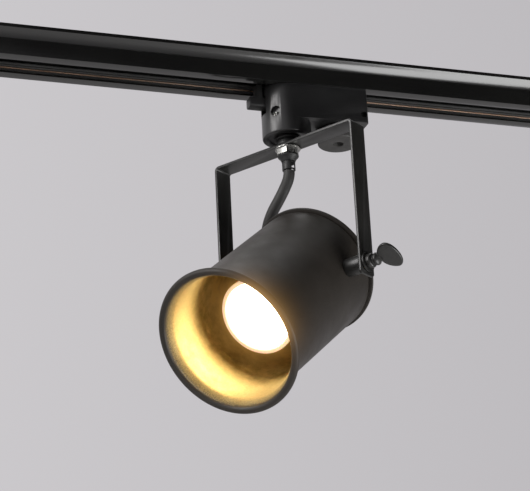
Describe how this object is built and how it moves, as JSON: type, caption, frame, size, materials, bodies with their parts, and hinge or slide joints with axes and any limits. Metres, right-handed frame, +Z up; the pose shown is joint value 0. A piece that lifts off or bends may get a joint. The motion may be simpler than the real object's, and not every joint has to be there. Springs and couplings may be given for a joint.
{
  "type": "track lighting fixture",
  "caption": "Ceiling track spotlight: a two-wire track length with a sliding, locking adapter, a swivelling yoke and a tilting open cylinder head with a reflector lamp.",
  "frame": {"origin": "centre of the track's flat top face, straight above the swivel axis at rest", "axes": "+X along the track towards its dead end, +Z up out of the ceiling face, +Y to the track's rear side"},
  "size_m": [0.537, 0.141, 0.2641],
  "materials": {
    "track_black": "glossy black powder coat on an aluminium extrusion",
    "adapter_black": "satin black moulded plastic",
    "black_plastic": "black moulded plastic",
    "knob_plastic": "dark grey moulded plastic",
    "grey_insulator": "grey extruded plastic",
    "copper": "bare copper strip",
    "brass": "nickel-free brass",
    "zinc": "bright zinc plate",
    "steel": "bright steel",
    "black_paint": "satin black paint on steel",
    "shade_paint": "fine matte black outside, warm gold inside",
    "lead_sleeve": "matte black sleeve over the lamp's lead",
    "brown_wire": "brown insulated wire",
    "blue_wire": "blue insulated wire",
    "ceramic": "white glazed ceramic",
    "lamp_white": "white lamp body",
    "lamp_rim_plastic": "pale translucent ring",
    "lamp_lens_lit": "frosted lens, lit"
  },
  "bodies": {
    "track": {"track_rail": "track_black", "track_insulator_front": "grey_insulator", "track_insulator_rear": "grey_insulator", "track_conductor_front": "copper", "track_conductor_rear": "copper", "live_end_contact_front": "brass", "live_end_contact_rear": "brass", "live_end_block": "black_plastic", "live_end_screw": "steel", "dead_end_cap": "black_plastic"},
    "adapter": {"adapter_housing": "adapter_black", "adapter_base": "black_plastic", "adapter_boss_screw": "zinc", "adapter_end_screw": "black_paint", "terminal_live": "brass", "terminal_neutral": "brass", "wire_live": "brown_wire", "wire_neutral": "blue_wire", "latch_spring": "steel"},
    "latch": {"latch_tab": "black_plastic"},
    "knob": {"lock_knob": "knob_plastic", "lock_knob_screw": "black_paint", "contact_rotor": "black_plastic", "contact_blade_front": "brass", "contact_blade_rear": "brass"},
    "yoke": {"yoke_bracket": "black_paint", "swivel_stud": "zinc", "swivel_stud_nut": "zinc", "swivel_inner_washer": "zinc", "swivel_outer_washer": "black_plastic", "swivel_spacer": "black_plastic", "flange_nut": "zinc", "gland_collar": "black_plastic", "lead_clamp": "black_plastic", "lead": "lead_sleeve"},
    "head": {"lamp_shade": "shade_paint", "rear_cap": "shade_paint", "rear_gland": "black_plastic", "cap_screw_left": "steel", "cap_screw_right": "steel", "holder_bracket": "steel", "lamp_holder": "ceramic", "lamp_body": "lamp_white", "lamp_rim": "lamp_rim_plastic", "lamp_lens": "lamp_lens_lit", "pivot_boss_left": "black_paint", "pivot_boss_right": "black_paint", "pivot_nut_left": "zinc", "pivot_nut_right": "zinc", "pivot_screw_left": "black_paint", "pivot_washer": "black_paint", "lamp_tail_live": "brown_wire", "lamp_tail_neutral": "blue_wire"},
    "thumb": {"thumb_screw": "black_paint"}
  },
  "joints": [
    {"name": "adapter_slide", "type": "slide", "parent": "track", "child": "adapter", "axis": [1, 0, 0], "range_m": [-0.195, 0.17]},
    {"name": "latch_press", "type": "slide", "parent": "adapter", "child": "latch", "axis": [0, 0, 1], "range_m": [-0.004, 0], "stiffness_N_per_m": 300, "springref_m": 0.004, "deforming": ["latch_spring"]},
    {"name": "lock_knob_turn", "type": "hinge", "parent": "adapter", "child": "knob", "pos_m": [0.0374, 0, -0.055], "axis": [0, 0, 1], "range_deg": [0, 90]},
    {"name": "yoke_swivel", "type": "hinge", "parent": "adapter", "child": "yoke", "pos_m": [0, 0, -0.06], "axis": [0, 0, 1], "range_deg": [-175, 175]},
    {"name": "head_tilt", "type": "hinge", "parent": "yoke", "child": "head", "pos_m": [0, 0, -0.1655], "axis": [0.5592, -0.829, 0], "range_deg": [-37.8, 52.2], "deforming": ["lead"]},
    {"name": "thumb_screw_turn", "type": "hinge", "parent": "head", "child": "thumb", "pos_m": [0.03299, -0.04891, -0.1655], "axis": [0.5592, -0.829, 0], "range_deg": [-360, 0]}
  ]
}
